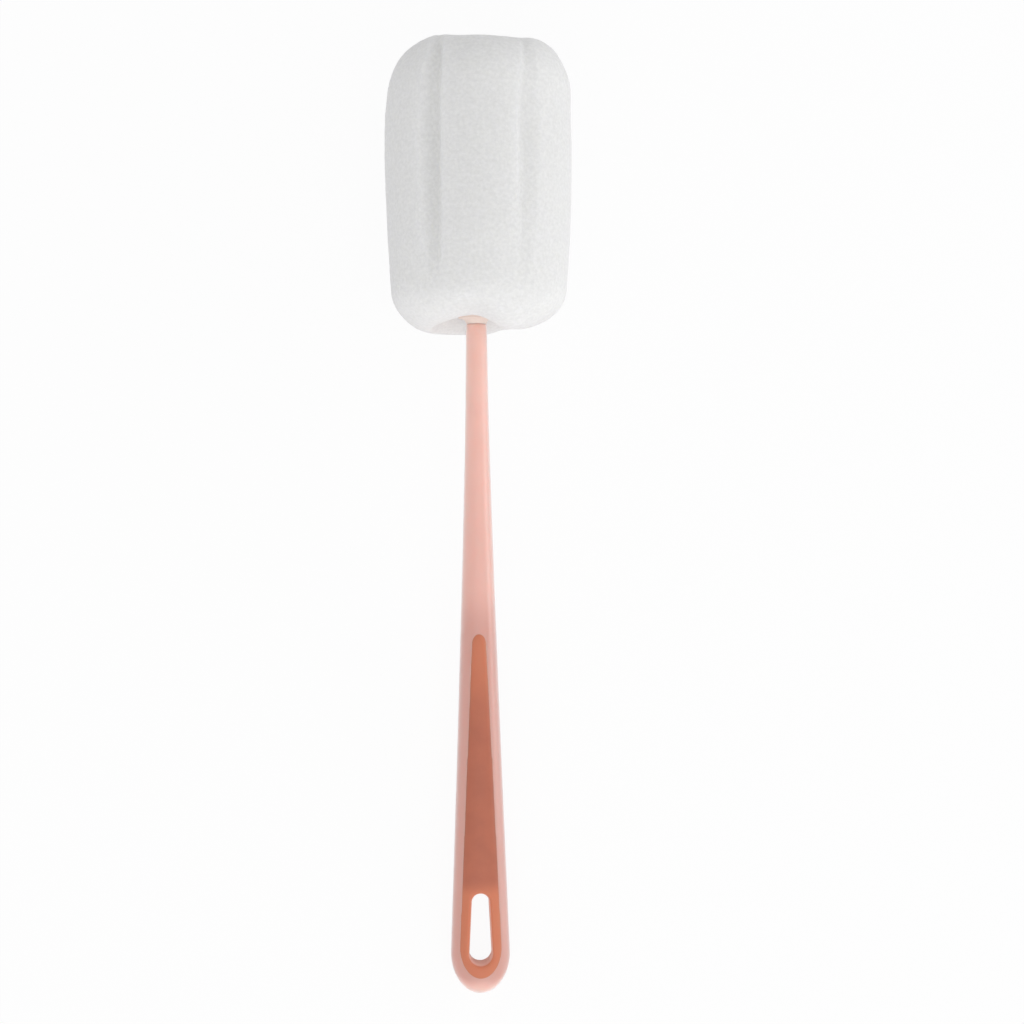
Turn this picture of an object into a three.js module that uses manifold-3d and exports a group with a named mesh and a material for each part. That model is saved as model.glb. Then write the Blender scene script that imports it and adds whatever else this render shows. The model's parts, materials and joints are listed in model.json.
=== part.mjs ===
// Sponge cup brush: a two-material handle with a hanging slot, and a six-lobed foam head on a
// plastic core that pulls off the handle. Millimetres throughout.
// Each piece is drawn along +Y from the butt of the handle, with the front of the brush towards +Z.
// The finished brush is then laid on its back on a table, on its butt and its lowest foam lobe.

import * as THREE from "three";
import { mergeVertices } from "three/addons/utils/BufferGeometryUtils.js";
import Module from "manifold-3d";

// Handle, from the butt at zero to the shoulder that the head stops on
const handleLength = 219;
const buttWidth = 19.4;
const buttThickness = 9.8;
const buttNoseLength = 13.3; // the elliptical end, seen from the front
const buttEdgeLength = 6; // the rounded end, seen from the side
const gripStation = 89; // the middle of the grip, from the butt
const gripWidth = 13.8;
const gripThickness = 10.6;
const gripSquareness = 2.5; // 2 is a plain ellipse, more is a fuller oval
const neckLength = 47; // the slender round end, from the shoulder back
const throatDiameter = 8.5; // where the neck begins
const neckDiameter = 6.8; // at the shoulder

// Spigot on the end of the neck, which the head pushes onto
const spigotLength = 42;
const spigotBaseDiameter = 5.6;
const spigotTipDiameter = 4.8;
const spigotTipChamfer = 0.8;

// Soft inlay on both faces of the grip, with the slot's lining in one piece
const inlayButtMargin = 6; // handle left bare below the inlay
const inlayRim = 2.8; // handle left bare on each side of the inlay's wide end
const inlayLength = 111.8;
const inlayTipWidth = 4.2;
const inlayEndStretch = 1.38; // how much longer than round the inlay's two ends are
const inlayProud = 0.35; // how far the inlay stands above the handle
const webThickness = 4.6; // handle left between the front and the back inlay

// Hanging slot, wide end towards the butt
const slotMargin = 3.9; // inlay left below the slot
const slotLength = 23.6;
const slotWideWidth = 7;
const slotNarrowWidth = 5.2;
const slotLining = 1.2;
const slotMouthRadius = 1.3;

// Plastic core of the head: flared foot, flange, and a barbed tube that closes over the spigot
const flareHeight = 1.9;
const flangeDiameter = 11.8;
const flangeThickness = 1;
const coreLength = 50; // flange to closed end
const coreDiameter = 8.4;
const barbDiameter = 10.2;
const barbCount = 4;
const barbHeight = 7;
const barbPitch = 11;
const coreTipRadius = 3;

// Foam head
const headLength = 92.7;
const headDiameter = 61.8;
const headFootDiameter = 57.6; // just above the rounded lower edge
const headTopDiameter = 60.8; // just below the rounded upper edge
const headWidest = 57.5; // height of the widest ring above the head's foot
const footEdgeWidth = 16.5;
const footEdgeHeight = 13;
const footFoldRadius = 16; // where the rounded lower edge folds up into the dished foot
const topEdgeWidth = 13;
const topEdgeHeight = 18.5;
const dishDepth = 4.8; // how far the foot is drawn up round the flange
const footDrop = 5.1; // how far the foot hangs below the flange's upper face
const lobeCount = 6;
const grooveWidth = 7; // shoulder to shoulder
const grooveDepth = 2.7;
const grooveStart = 11; // the grooves begin this high above the foot
const grooveRunOut = 19; // and take this long to reach their full depth
const grooveTopShare = 0.2; // share of that depth left where they end on the flat top
const restFlat = 0.5; // depth that the lowest lobe is pressed flat by the table

// Gap between pieces that touch
const fitGap = 0.3;

// Facets
const sectionSides = 44;
const turnedSides = 28;
const noseSteps = 7;
const shaftSteps = 24;
const arcSteps = 8;
const headSteps = [5, 5, 9, 7]; // rings on the foam's dished foot, lower edge, side and upper edge
const weldDistance = 1e-4;

// Places along the brush that several pieces share
const throatStation = handleLength - neckLength;
const coreFoot = handleLength + fitGap;
const flangeTop = coreFoot + flareHeight + flangeThickness;
const coreTop = flangeTop + coreLength;
const headFoot = flangeTop - footDrop;
const headTop = headFoot + headLength;
const webFace = webThickness / 2;

const wasm = await Module();
wasm.setup();

// A closed geometry as a solid that can be joined and cut
function toSolid(geometry) {
  const bare = geometry.clone();
  bare.deleteAttribute("normal");
  bare.deleteAttribute("uv");
  const merged = mergeVertices(bare, weldDistance);
  const corners = merged.index.array;
  const triangles = [];
  for (let i = 0; i < corners.length; i += 3) {
    const [a, b, c] = corners.slice(i, i + 3);
    if (a !== b && b !== c && c !== a) {
      triangles.push(a, b, c);
    }
  }
  const vertProperties = merged.attributes.position.array;
  const triVerts = new Uint32Array(triangles);
  return new wasm.Manifold(new wasm.Mesh({ numProp: 3, vertProperties, triVerts }));
}

function toGeometry(solid) {
  const { vertProperties, triVerts } = solid.getMesh();
  const geometry = new THREE.BufferGeometry();
  geometry.setAttribute("position", new THREE.BufferAttribute(vertProperties, 3));
  geometry.setIndex(new THREE.BufferAttribute(triVerts, 1));
  geometry.computeVertexNormals();
  return geometry;
}

// A closed skin over rings of equal counts, each running anticlockwise about the direction of travel,
// drawn together at a point beyond the first ring and one beyond the last
function loft(rings, firstPoint, lastPoint) {
  const sides = rings[0].length;
  const points = [firstPoint, ...rings.flat(), lastPoint];
  const last = points.length - 1;
  const triangles = [];
  for (let side = 0; side < sides; side += 1) {
    const next = (side + 1) % sides;
    triangles.push(0, 1 + next, 1 + side);
    for (let ring = 0; ring < rings.length - 1; ring += 1) {
      const here = 1 + ring * sides;
      const above = here + sides;
      triangles.push(here + side, here + next, above + next);
      triangles.push(here + side, above + next, above + side);
    }
    triangles.push(last, last - sides + side, last - sides + next);
  }
  const geometry = new THREE.BufferGeometry().setFromPoints(points);
  geometry.setIndex(triangles);
  return geometry;
}

// Height of a quarter ellipse at a share of its length from its tip
function roundedEnd(share) {
  const inward = 1 - Math.min(share, 1);
  return Math.sqrt(1 - inward * inward);
}

// A smooth curve through the handle's four stations, the neck being even along its length
function throughStations(butt, grip, throat, neck) {
  const stations = [buttNoseLength, gripStation, throatStation, handleLength];
  const curve = new THREE.CubicInterpolant(stations, [butt, grip, throat, neck], 1);
  return (y) => curve.evaluate(y)[0];
}

const handleWidth = throughStations(buttWidth, gripWidth, throatDiameter, neckDiameter);
const handleThickness = throughStations(buttThickness, gripThickness, throatDiameter, neckDiameter);

function sectionAt(y) {
  const plain = THREE.MathUtils.smoothstep(y, gripStation, throatStation);
  return {
    halfWidth: (handleWidth(y) / 2) * roundedEnd(y / buttNoseLength),
    halfDepth: (handleThickness(y) / 2) * roundedEnd(y / buttEdgeLength),
    squareness: THREE.MathUtils.lerp(gripSquareness, 2, plain),
  };
}

// The handle's outer form up to the shoulder, its faces raised by the amount given
function handleForm(raised = 0) {
  const heights = [];
  for (let step = 1; step <= noseSteps; step += 1) {
    heights.push(buttNoseLength * (1 - Math.cos(((step / noseSteps) * Math.PI) / 2)));
  }
  for (let step = 1; step <= shaftSteps; step += 1) {
    heights.push(THREE.MathUtils.lerp(buttNoseLength, handleLength, step / shaftSteps));
  }
  const rings = heights.map((y) => {
    const { halfWidth, halfDepth, squareness } = sectionAt(y);
    const ring = [];
    for (let side = 0; side < sectionSides; side += 1) {
      const angle = (side / sectionSides) * 2 * Math.PI;
      const across = Math.sin(angle);
      const out = Math.cos(angle);
      const x = Math.sign(across) * Math.abs(across) ** (2 / squareness) * halfWidth;
      const z = Math.sign(out) * Math.abs(out) ** (2 / squareness) * (halfDepth + raised);
      ring.push(new THREE.Vector3(x, y, z));
    }
    return ring;
  });
  return loft(rings, new THREE.Vector3(0, 0, 0), new THREE.Vector3(0, handleLength, 0));
}

// Height of the inlay's face above the middle of the handle
function faceHeight(x, y) {
  const { halfWidth, halfDepth, squareness } = sectionAt(y);
  const inward = Math.min(Math.abs(x) / halfWidth, 1) ** squareness;
  return (halfDepth + inlayProud) * (1 - inward) ** (1 / squareness);
}

// Two arcs joined by their straight tangents, grown by a margin. Stretch lengthens both arcs along Y.
function taperedOutline({ foot, top, wide, narrow, stretch }, margin = 0) {
  const low = wide / 2 + margin;
  const high = narrow / 2 + margin;
  const lowMiddle = foot + (wide / 2) * stretch;
  const highMiddle = top - (narrow / 2) * stretch;
  const lean = Math.asin((low - high) / ((highMiddle - lowMiddle) / stretch));
  const outline = new THREE.Shape();
  outline.absellipse(0, highMiddle, high, high * stretch, lean, Math.PI - lean, false);
  outline.absellipse(0, lowMiddle, low, low * stretch, Math.PI - lean, 2 * Math.PI + lean, false);
  outline.closePath();
  return outline;
}

const inlayPlan = {
  foot: inlayButtMargin,
  top: inlayButtMargin + inlayLength,
  wide: buttWidth - 2 * inlayRim,
  narrow: inlayTipWidth,
  stretch: inlayEndStretch,
};
const slotPlan = {
  foot: inlayPlan.foot + slotMargin,
  top: inlayPlan.foot + slotMargin + slotLength,
  wide: slotWideWidth,
  narrow: slotNarrowWidth,
  stretch: 1,
};

// A plate of an outline between two heights
function plate(outline, low, high) {
  const geometry = new THREE.ExtrudeGeometry(outline, {
    depth: high - low,
    bevelEnabled: false,
    curveSegments: arcSteps,
  });
  return toSolid(geometry.translate(0, 0, low));
}

// The same plate on the front and on the back of the handle
function bothFaces(outline, low, high) {
  return plate(outline, low, high).add(plate(outline, -high, -low));
}

const beyondHandle = Math.max(buttThickness, gripThickness);

// The air in the slot, flared at both mouths to round the inlay's edge over
function slotAir() {
  const middle = (slotPlan.foot + slotPlan.top) / 2;
  const mouth = faceHeight(slotWideWidth / 2 + slotMouthRadius, middle);
  const levels = [[0, 0]];
  for (let step = 0; step <= arcSteps; step += 1) {
    const angle = ((step / arcSteps) * Math.PI) / 2;
    levels.push([mouth - slotMouthRadius * (1 - Math.sin(angle)), slotMouthRadius * (1 - Math.cos(angle))]);
  }
  levels.push([beyondHandle, slotMouthRadius]);
  const mirrored = levels.slice(1).map(([z, flare]) => [-z, flare]);
  const rings = [...mirrored.reverse(), ...levels].map(([z, flare]) =>
    taperedOutline(slotPlan, flare)
      .getPoints(arcSteps)
      .slice(0, -1)
      .map((point) => new THREE.Vector3(point.x, point.y, z)),
  );
  const below = new THREE.Vector3(0, middle, -beyondHandle);
  const above = new THREE.Vector3(0, middle, beyondHandle);
  return toSolid(loft(rings, below, above));
}

// A turned solid. The profile runs from the axis, with the solid on its left, back to the axis.
function turned(profile) {
  const points = profile.map(([radius, y]) => new THREE.Vector2(radius, y));
  return toSolid(new THREE.LatheGeometry(points, turnedSides));
}

function makeHandle() {
  const neckRoot = handleLength - spigotBaseDiameter;
  const tip = handleLength + spigotLength;
  const spigot = turned([
    [0, neckRoot],
    [spigotBaseDiameter / 2, neckRoot],
    [spigotBaseDiameter / 2, handleLength],
    [spigotTipDiameter / 2, tip - spigotTipChamfer],
    [spigotTipDiameter / 2 - spigotTipChamfer, tip],
    [0, tip],
  ]);
  const pockets = bothFaces(taperedOutline(inlayPlan, fitGap), webFace, beyondHandle);
  const slotHole = plate(taperedOutline(slotPlan, slotLining + fitGap), -beyondHandle, beyondHandle);
  return toSolid(handleForm()).add(spigot).subtract(pockets).subtract(slotHole);
}

function makeInlay() {
  const panels = bothFaces(taperedOutline(inlayPlan), webFace + fitGap, beyondHandle);
  const lining = plate(taperedOutline(slotPlan, slotLining), -beyondHandle, beyondHandle);
  return toSolid(handleForm(inlayProud)).intersect(panels.add(lining)).subtract(slotAir());
}

function makeCore() {
  const socketTop = handleLength + spigotLength + fitGap;
  const neckRadius = neckDiameter / 2;
  const flangeRadius = flangeDiameter / 2;
  const tubeRadius = coreDiameter / 2;
  const profile = [
    [0, socketTop],
    [spigotTipDiameter / 2 + fitGap, socketTop],
    [spigotBaseDiameter / 2 + fitGap, coreFoot],
    [neckRadius, coreFoot],
  ];
  for (let step = 1; step <= arcSteps; step += 1) {
    const angle = ((step / arcSteps) * Math.PI) / 2;
    const radius = THREE.MathUtils.lerp(neckRadius, flangeRadius, 1 - Math.cos(angle));
    profile.push([radius, coreFoot + flareHeight * Math.sin(angle)]);
  }
  profile.push([flangeRadius, flangeTop], [tubeRadius, flangeTop]);
  for (let barb = 0; barb < barbCount; barb += 1) {
    const foot = flangeTop + barbPitch / 2 + barb * barbPitch;
    profile.push([tubeRadius, foot], [barbDiameter / 2, foot], [tubeRadius, foot + barbHeight]);
  }
  for (let step = 0; step <= arcSteps / 2; step += 1) {
    const angle = ((step / (arcSteps / 2)) * Math.PI) / 2;
    const inward = coreTipRadius * (1 - Math.cos(angle));
    profile.push([tubeRadius - inward, coreTop - coreTipRadius * (1 - Math.sin(angle))]);
  }
  profile.push([0, coreTop]);
  return turned(profile);
}

// Half of the foam head's side view, from the drawn-up middle of its foot round to its flat top
function headProfile() {
  const footRadius = headFootDiameter / 2;
  const topRadius = headTopDiameter / 2;
  const edgeMiddle = footRadius - footEdgeWidth;
  const edgeTop = headFoot + footEdgeHeight;
  const foldAngle = -Math.acos((footFoldRadius - edgeMiddle) / footEdgeWidth);
  const foldHeight = edgeTop + footEdgeHeight * Math.sin(foldAngle);
  const dishTop = headFoot + dishDepth;
  const crown = headTop - topEdgeHeight;
  const outline = new THREE.Path();
  outline.moveTo(0, dishTop);
  outline.bezierCurveTo(
    footFoldRadius * 0.62,
    dishTop,
    footFoldRadius * 0.78,
    (dishTop + foldHeight) / 2,
    footFoldRadius,
    foldHeight,
  );
  outline.absellipse(edgeMiddle, edgeTop, footEdgeWidth, footEdgeHeight, foldAngle, 0, false);
  outline.splineThru([
    new THREE.Vector2(headDiameter / 2, headFoot + headWidest),
    new THREE.Vector2(topRadius, crown),
  ]);
  outline.absellipse(topRadius - topEdgeWidth, crown, topEdgeWidth, topEdgeHeight, 0, Math.PI / 2, false);
  const stretches = outline.curves.map((curve, index) => curve.getPoints(headSteps[index]));
  return stretches.flatMap((points, index) => (index === 0 ? points : points.slice(1)));
}

// Angles round the head, close together in the grooves and wide apart on the lobes
function lobeAngles() {
  const pitch = (2 * Math.PI) / lobeCount;
  const shoulder = Math.min(grooveWidth / headDiameter, pitch / 3);
  const middle = pitch / 2;
  const offsets = [0, shoulder * 0.5, shoulder * 0.85, shoulder, (shoulder + middle) / 2, middle];
  const oneLobe = [...offsets, ...offsets.slice(1, -1).reverse().map((offset) => pitch - offset)];
  const angles = [];
  for (let lobe = 0; lobe < lobeCount; lobe += 1) {
    angles.push(...oneLobe.map((offset) => (lobe + 0.5) * pitch + offset));
  }
  return { angles, shoulder, pitch };
}

function makeHead() {
  const { angles, shoulder, pitch } = lobeAngles();
  const grooveShare = (angle) => {
    const fromGroove = Math.abs((((angle - pitch / 2) % pitch) + 1.5 * pitch) % pitch - pitch / 2);
    return Math.sqrt(Math.max(1 - (fromGroove / shoulder) ** 2, 0));
  };
  const profile = headProfile();
  const rings = profile
    .filter((point) => point.x > weldDistance)
    .map((point) => {
      const begun = THREE.MathUtils.smoothstep(point.y - headFoot, grooveStart, grooveStart + grooveRunOut);
      const closing = THREE.MathUtils.smoothstep(point.y, headTop - topEdgeHeight, headTop);
      const depth = grooveDepth * begun * THREE.MathUtils.lerp(1, grooveTopShare, closing);
      return angles.map((angle) => {
        const radius = point.x - depth * grooveShare(angle);
        return new THREE.Vector3(radius * Math.sin(angle), point.y, radius * Math.cos(angle));
      });
    });
  const foam = loft(rings, new THREE.Vector3(0, profile[0].y, 0), new THREE.Vector3(0, headTop, 0));
  const seat = flangeTop + fitGap;
  const seatRadius = flangeDiameter / 2 + fitGap;
  const boreRadius = barbDiameter / 2 + fitGap;
  const socket = turned([
    [0, headFoot - dishDepth],
    [seatRadius, headFoot - dishDepth],
    [seatRadius, seat],
    [boreRadius, seat],
    [boreRadius, coreTop + fitGap],
    [0, coreTop + fitGap],
  ]);
  return toSolid(foam).subtract(socket);
}

// Lowest point of a solid once the brush is tipped about X
function lowestPoint(solid, tilt) {
  const { vertProperties } = solid.getMesh();
  let lowest = Infinity;
  for (let i = 0; i < vertProperties.length; i += 3) {
    const height = vertProperties[i + 1] * Math.sin(tilt) + vertProperties[i + 2] * Math.cos(tilt);
    lowest = Math.min(lowest, height);
  }
  return lowest;
}

// Tilt at which the butt and the pressed-in foam lobe meet the same table
function restTilt(grip, head) {
  let low = 0;
  let high = Math.PI / 6;
  for (let step = 0; step < 50; step += 1) {
    const tilt = (low + high) / 2;
    if (lowestPoint(head, tilt) + restFlat > lowestPoint(grip, tilt)) {
      high = tilt;
    } else {
      low = tilt;
    }
  }
  return (low + high) / 2;
}

// The foam with the lobe that it lies on pressed flat
function pressFlat(head, tilt, tableHeight) {
  const reach = 2 * headTop;
  const table = new THREE.BoxGeometry(reach, reach, headDiameter);
  table.translate(0, 0, tableHeight - headDiameter / 2);
  table.rotateX(-tilt);
  return head.subtract(toSolid(table));
}

function piece(name, solid, color, roughness) {
  const material = new THREE.MeshStandardMaterial({ color, roughness, metalness: 0 });
  const mesh = new THREE.Mesh(toGeometry(solid), material);
  mesh.name = name;
  return mesh;
}

const handle = makeHandle();
const inlay = makeInlay();
const looseHead = makeHead();
const tilt = restTilt(handle.add(inlay), looseHead);
const tableHeight = lowestPoint(handle.add(inlay), tilt);

const brush = new THREE.Group();
brush.add(piece("handle", handle, 0xedb3a5, 0.45));
brush.add(piece("grip_inlay", inlay, 0xbb7056, 0.7));
brush.add(piece("head_core", makeCore(), 0xecd6cb, 0.5));
brush.add(piece("sponge_head", pressFlat(looseHead, tilt, tableHeight), 0xe6e6e3, 0.95));
brush.rotation.x = tilt;

// The table is at zero height, with the middle of the brush over the origin
const box = new THREE.Box3().setFromObject(brush, true);
brush.position.set(0, -(box.min.y + box.max.y) / 2, -tableHeight);

const sponge_brush = new THREE.Group();
sponge_brush.add(brush);

export default sponge_brush;
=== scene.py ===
# %% [markdown]
# A sponge bottle brush, dressed step by step.
# The brush has four pieces: a pink plastic handle, a soft terracotta grip that is moulded into it,
# a white foam head with six lobes, and the small plastic core that the foam is glued to.
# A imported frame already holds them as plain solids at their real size, lying on a table. This lesson
# loads that frame, models the fine surface of each piece over it, and gives each its finish.

# %% Load the frame
import json
import math

import bmesh
import bpy
from mathutils import Matrix, Vector


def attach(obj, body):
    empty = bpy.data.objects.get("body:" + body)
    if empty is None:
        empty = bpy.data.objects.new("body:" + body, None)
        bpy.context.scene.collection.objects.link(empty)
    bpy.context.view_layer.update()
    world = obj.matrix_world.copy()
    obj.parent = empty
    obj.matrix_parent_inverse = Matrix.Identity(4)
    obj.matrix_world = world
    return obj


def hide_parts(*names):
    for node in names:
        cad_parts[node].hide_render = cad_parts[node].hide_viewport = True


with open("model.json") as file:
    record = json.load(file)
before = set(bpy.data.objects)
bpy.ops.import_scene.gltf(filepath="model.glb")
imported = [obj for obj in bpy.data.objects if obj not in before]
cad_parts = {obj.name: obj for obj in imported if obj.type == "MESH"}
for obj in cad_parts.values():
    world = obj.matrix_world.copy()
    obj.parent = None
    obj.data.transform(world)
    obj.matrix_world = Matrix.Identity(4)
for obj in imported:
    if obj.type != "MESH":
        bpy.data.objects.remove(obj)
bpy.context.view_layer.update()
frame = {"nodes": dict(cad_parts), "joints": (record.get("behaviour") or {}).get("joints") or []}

print("pieces in the frame:", sorted(frame["nodes"]))

# %% [markdown]
# The brush lies on its back, tipped up by the thickness of its head. It is much easier to model it
# straight, so every piece is drawn with its length along Y, from the butt of the handle, and with its
# front towards Z. One matrix then lays the finished piece down on the table. The head pulls straight
# off the handle, so the joint's axis is the direction of the brush, and the handle's lowest point
# along that axis is its butt.

# %% Brush directions
mm = 0.001
along = Vector(frame["joints"][0]["axis"]).normalized()
side = Vector((1, 0, 0))
front = side.cross(along)
handle_points = [vertex.co.copy() for vertex in frame["nodes"]["handle"].data.vertices]
butt = min(handle_points, key=lambda point: point.dot(along))
lay_down = Matrix.Translation(butt) @ Matrix((side, along, front)).transposed().to_4x4()


def brush_box(node):
    """Lowest and highest corners of a frame node, measured along the straight brush."""
    straighten = lay_down.inverted()
    points = [straighten @ vertex.co for vertex in frame["nodes"][node].data.vertices]
    lowest = Vector([min(point[axis] for point in points) for axis in range(3)])
    highest = Vector([max(point[axis] for point in points) for axis in range(3)])
    return lowest, highest


handle_high = brush_box("handle")[1]
inlay_low, inlay_high = brush_box("grip_inlay")
core_low, core_high = brush_box("head_core")
foam_low, foam_high = brush_box("sponge_head")
print("brush length in mm:", round(foam_high.y / mm, 1))
print("tilt in degrees:", round(math.degrees(math.asin(along.z)), 2))

# %% [markdown]
# Three small helpers carry most of the modelling. A round or oval form is a filled circle that is
# extruded from station to station and resized at each one, which is how a handle is drawn by hand.
# A cut or a join is a Boolean modifier that is applied at once. A moulded edge is never sharp, and the
# simplest way to round every edge of a cut form is to rebuild its skin from small even voxels and then
# smooth it, so the third helper does that.

# %% Modelling helpers
def only(piece):
    """Selects this piece alone and makes it the active one."""
    bpy.ops.object.select_all(action="DESELECT")
    piece.select_set(True)
    bpy.context.view_layer.objects.active = piece


def face_outward():
    """Turns every face of the active solid outward, and leaves it in object mode."""
    bpy.ops.object.mode_set(mode="EDIT")
    bpy.ops.mesh.select_all(action="SELECT")
    bpy.ops.mesh.normals_make_consistent(inside=False)
    bpy.ops.object.mode_set(mode="OBJECT")


def ring_loft(name, rings, sides):
    """A closed form through rings across Y. A ring is (place along Y, half width, half depth)."""
    place, half_width, half_depth = rings[0]
    bpy.ops.object.select_all(action="DESELECT")
    bpy.ops.mesh.primitive_circle_add(
        vertices=sides, radius=half_width, fill_type="NGON",
        location=(0, place, 0), rotation=(-math.pi / 2, 0, 0))
    piece = bpy.context.object
    piece.name = name
    bpy.ops.object.mode_set(mode="EDIT")
    bpy.ops.mesh.select_all(action="SELECT")
    bpy.ops.transform.resize(value=(1, 1, half_depth / half_width), center_override=(0, place, 0))
    for here, there in zip(rings, rings[1:]):
        bpy.ops.mesh.extrude_region_move(
            TRANSFORM_OT_translate={"value": (0, there[0] - here[0], 0)})
        bpy.ops.transform.resize(
            value=(there[1] / here[1], 1, there[2] / here[2]), center_override=(0, there[0], 0))
    face_outward()
    bpy.ops.object.transform_apply(location=True, rotation=True, scale=True)
    return piece


def round_rings(places_and_radii):
    """Rings of a turned form, from (place, radius) pairs."""
    return [(place, radius, radius) for place, radius in places_and_radii]


def apply_modifier(piece, modifier):
    """Makes a modifier's result the piece's own mesh."""
    only(piece)
    bpy.ops.object.modifier_apply(modifier=modifier.name)


def combine(piece, tool, operation):
    """Cuts the tool away from the piece or joins it on. The tool is used up."""
    modifier = piece.modifiers.new("combine", "BOOLEAN")
    modifier.operation = operation
    modifier.solver = "EXACT"
    modifier.object = tool
    apply_modifier(piece, modifier)
    bpy.data.objects.remove(tool)


def even_skin(piece, voxel, smoothing):
    """Rebuilds the skin from even voxels and smooths it, which rounds each edge."""
    remesh = piece.modifiers.new("even_skin", "REMESH")
    remesh.mode = "VOXEL"
    remesh.voxel_size = voxel
    apply_modifier(piece, remesh)
    smooth = piece.modifiers.new("rounding", "SMOOTH")
    smooth.factor = 0.5
    smooth.iterations = smoothing
    apply_modifier(piece, smooth)


def smooth_step(value, low, high):
    """Rises gently from 0 at the low value to 1 at the high one."""
    share = min(max((value - low) / (high - low), 0), 1)
    return share * share * (3 - 2 * share)


def on_the_table(piece):
    """Lays a finished piece down in its place, with the object itself left at the origin."""
    piece.matrix_world = lay_down @ piece.matrix_world
    only(piece)
    bpy.ops.object.transform_apply(location=True, rotation=True, scale=True)
    bpy.ops.object.shade_smooth()
    print(piece.name, "has", len(piece.data.polygons), "faces")


# %% [markdown]
# The handle is one long moulding. It is widest and flattest at the butt, where a slot hangs it on a
# hook, and thins to a round neck. Four stations give its width and its thickness, and a smooth curve
# through them gives every ring between.

# %% Handle stations
clearance = 0.3 * mm
shoulder = core_low.y - clearance
nose_length = 13.3 * mm
nose_edge = 6 * mm
grip_station = 89 * mm
throat = shoulder - 47 * mm
stations = [nose_length, grip_station, throat, shoulder]
widths = [19.4 * mm, 13.8 * mm, 8.5 * mm, 6.8 * mm]
thicknesses = [9.8 * mm, 10.6 * mm, 8.5 * mm, 6.8 * mm]
grip_fullness = 2.15


def through_stations(values, place):
    """A cubic curve through the values at the stations, with its slopes taken from the neighbours."""
    last = len(stations) - 1

    def slope(index):
        before, after = max(index - 1, 0), min(index + 1, last)
        return (values[after] - values[before]) / (stations[after] - stations[before])

    index = 0
    while index < last - 1 and place > stations[index + 1]:
        index += 1
    span = stations[index + 1] - stations[index]
    share = (place - stations[index]) / span
    start = values[index] * (1 + 2 * share) * (1 - share) ** 2
    end = values[index + 1] * share ** 2 * (3 - 2 * share)
    bend = slope(index) * share * (1 - share) ** 2 - slope(index + 1) * share ** 2 * (1 - share)
    return start + end + bend * span


def rounded_end(share):
    """Half height of an oval end, from 0 at its tip to 1 where the straight part begins."""
    return math.sqrt(1 - (1 - min(share, 1)) ** 2)


def handle_section(place):
    """Half width, half thickness and fullness of the handle at a place along it."""
    inner = max(place, nose_length)
    half_width = through_stations(widths, inner) / 2 * rounded_end(place / nose_length)
    half_depth = through_stations(thicknesses, inner) / 2 * rounded_end(place / nose_edge)
    fullness = grip_fullness + (2 - grip_fullness) * smooth_step(place, grip_station, throat)
    return half_width, half_depth, fullness


for place in stations:
    half_width, half_depth, fullness = handle_section(place)
    width, depth = round(2 * half_width / mm, 1), round(2 * half_depth / mm, 1)
    print("section at", round(place / mm), "mm:", width, "x", depth)

# %% [markdown]
# At the grip the section is a little fuller than an ellipse, and at the neck it is a plain circle. The
# rings are extruded as ellipses and their points pushed out afterwards. Round the butt the rings stand
# closer together, because the outline turns fastest there.

# %% Handle form
nose_rings = 24
shaft_rings = 140
handle_sides = 120


def handle_form(name):
    """The handle's outer form up to the shoulder."""
    places = []
    for step in range(1, nose_rings + 1):
        places.append(nose_length * (1 - math.cos(step / nose_rings * math.pi / 2)))
    reach = shoulder - nose_length
    places += [nose_length + reach * step / shaft_rings for step in range(1, shaft_rings + 1)]
    form = ring_loft(name, [(place, *handle_section(place)[:2]) for place in places], handle_sides)
    for vertex in form.data.vertices:
        half_width, half_depth, fullness = handle_section(vertex.co.y)
        across, out = vertex.co.x / half_width, vertex.co.z / half_depth
        vertex.co.x = math.copysign(min(abs(across), 1) ** (2 / fullness), across) * half_width
        vertex.co.z = math.copysign(min(abs(out), 1) ** (2 / fullness), out) * half_depth
    return form


handle = handle_form("handle_body")
print("handle form has", len(handle.data.polygons), "faces")

# %% [markdown]
# The grip and the hanging slot share one kind of outline: a wide arc and a narrow arc joined by
# straight sides. A filled circle gives it: the part above the tangent points is made smaller and moved
# up, and the two long sides are subdivided so that they can follow a curved face.

# %% Tapered outlines
inlay_plan = {
    "foot": inlay_low.y - 0.5 * mm, "top": inlay_high.y + 0.2 * mm,
    "wide": 2 * inlay_high.x + 0.4 * mm, "narrow": 4.6 * mm, "stretch": 1.38}
slot_plan = {
    "foot": inlay_low.y + 3.9 * mm, "top": inlay_low.y + 27.2 * mm,
    "wide": 7.4 * mm, "narrow": 5.7 * mm, "stretch": 1}
outline_points = 128
side_cuts = 60
long_side = 8 * mm


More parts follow.
